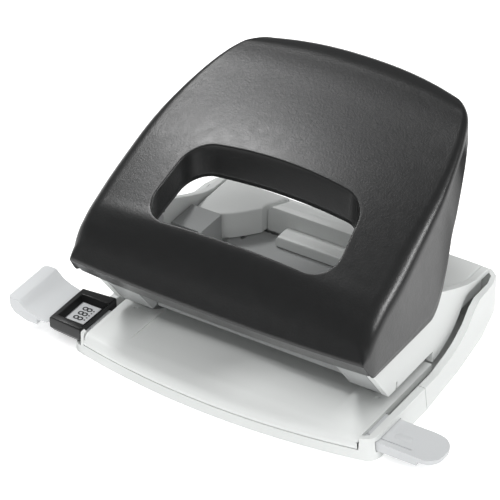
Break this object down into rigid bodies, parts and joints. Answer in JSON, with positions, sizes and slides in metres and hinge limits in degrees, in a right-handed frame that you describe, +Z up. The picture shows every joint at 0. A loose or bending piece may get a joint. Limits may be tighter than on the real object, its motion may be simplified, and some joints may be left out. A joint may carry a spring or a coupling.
{
  "type": "two-hole paper punch",
  "caption": "Desk paper punch: sloping black lever handle with a grip window, light grey base, sliding side guide with stop, and a hinged chad tray.",
  "frame": {"origin": "on the table under the middle of the line through the two punches, on the underside of the base mat", "axes": "+X to the right seen from the paper side, +Y to the back (the handle's free end), +Z up; paper goes in towards +Y"},
  "size_m": [0.1496, 0.0937, 0.079],
  "materials": {
    "grey_abs": "fine satin moulded plastic, light warm grey",
    "pale_abs": "satin moulded plastic, near white",
    "black_abs": "satin moulded plastic, near black",
    "lever_abs": "plain moulded plastic, dark grey",
    "frame_grey": "satin painted pressed steel",
    "die_steel": "ground steel",
    "punch_steel": "ground hardened steel",
    "bright_steel": "turned steel",
    "spring_steel": "drawn wire",
    "foot_rubber": "dull soft rubber",
    "index_label": "clear-coated printed strip"
  },
  "bodies": {
    "base": {"lower_shell": "grey_abs", "base_mat": "foot_rubber", "bed_plate": "grey_abs", "die_insert_right": "die_steel", "die_insert_left": "die_steel", "back_stop": "frame_grey", "bridge_plate": "frame_grey", "side_plate_right": "grey_abs", "side_plate_left": "grey_abs", "punch_block_right": "frame_grey", "punch_block_left": "frame_grey", "punch_guide_right": "bright_steel", "punch_guide_left": "bright_steel", "axle_pin_right": "bright_steel", "axle_pin_left": "bright_steel", "deck_ear_right": "grey_abs", "deck_ear_left": "grey_abs", "rear_box": "grey_abs", "index_frame": "black_abs", "index_lens": "index_label"},
    "tray": {"chad_tray": "grey_abs", "tray_foot_right": "foot_rubber", "tray_foot_left": "foot_rubber"},
    "guide": {"guide_bar": "pale_abs", "paper_stop": "pale_abs"},
    "handle": {"handle_shell": "black_abs", "press_lever_right": "lever_abs", "press_lever_left": "lever_abs", "press_roller_right": "bright_steel", "press_roller_left": "bright_steel"},
    "punch_right": {"punch_pin_right": "punch_steel", "punch_cap_right": "bright_steel", "punch_spring_right": "spring_steel"},
    "punch_left": {"punch_pin_left": "punch_steel", "punch_cap_left": "bright_steel", "punch_spring_left": "spring_steel"}
  },
  "joints": [
    {"name": "handle_press", "type": "hinge", "parent": "base", "child": "handle", "pos_m": [0, -0.017, 0.034], "axis": [-1, 0, 0], "range_deg": [0, 28.5], "stiffness_Nm_per_rad": 0.8, "springref_deg": -20.05},
    {"name": "punch_right_slide", "type": "slide", "parent": "base", "child": "punch_right", "axis": [0, 0, -1], "range_m": [0, 0.0085], "deforming": ["punch_spring_right"]},
    {"name": "punch_left_slide", "type": "slide", "parent": "base", "child": "punch_left", "axis": [0, 0, -1], "range_m": [0, 0.0085], "deforming": ["punch_spring_left"]},
    {"name": "guide_slide", "type": "slide", "parent": "base", "child": "guide", "axis": [-1, 0, 0], "range_m": [0, 0.0965]},
    {"name": "tray_hinge", "type": "hinge", "parent": "base", "child": "tray", "pos_m": [0, -0.0093, 0.0004], "axis": [-1, 0, 0], "range_deg": [0, 60]}
  ],
  "couplings": [
    {"joint": "punch_right_slide", "follows": "handle_press", "m_per_rad": 0.017},
    {"joint": "punch_left_slide", "follows": "handle_press", "m_per_rad": 0.017}
  ]
}
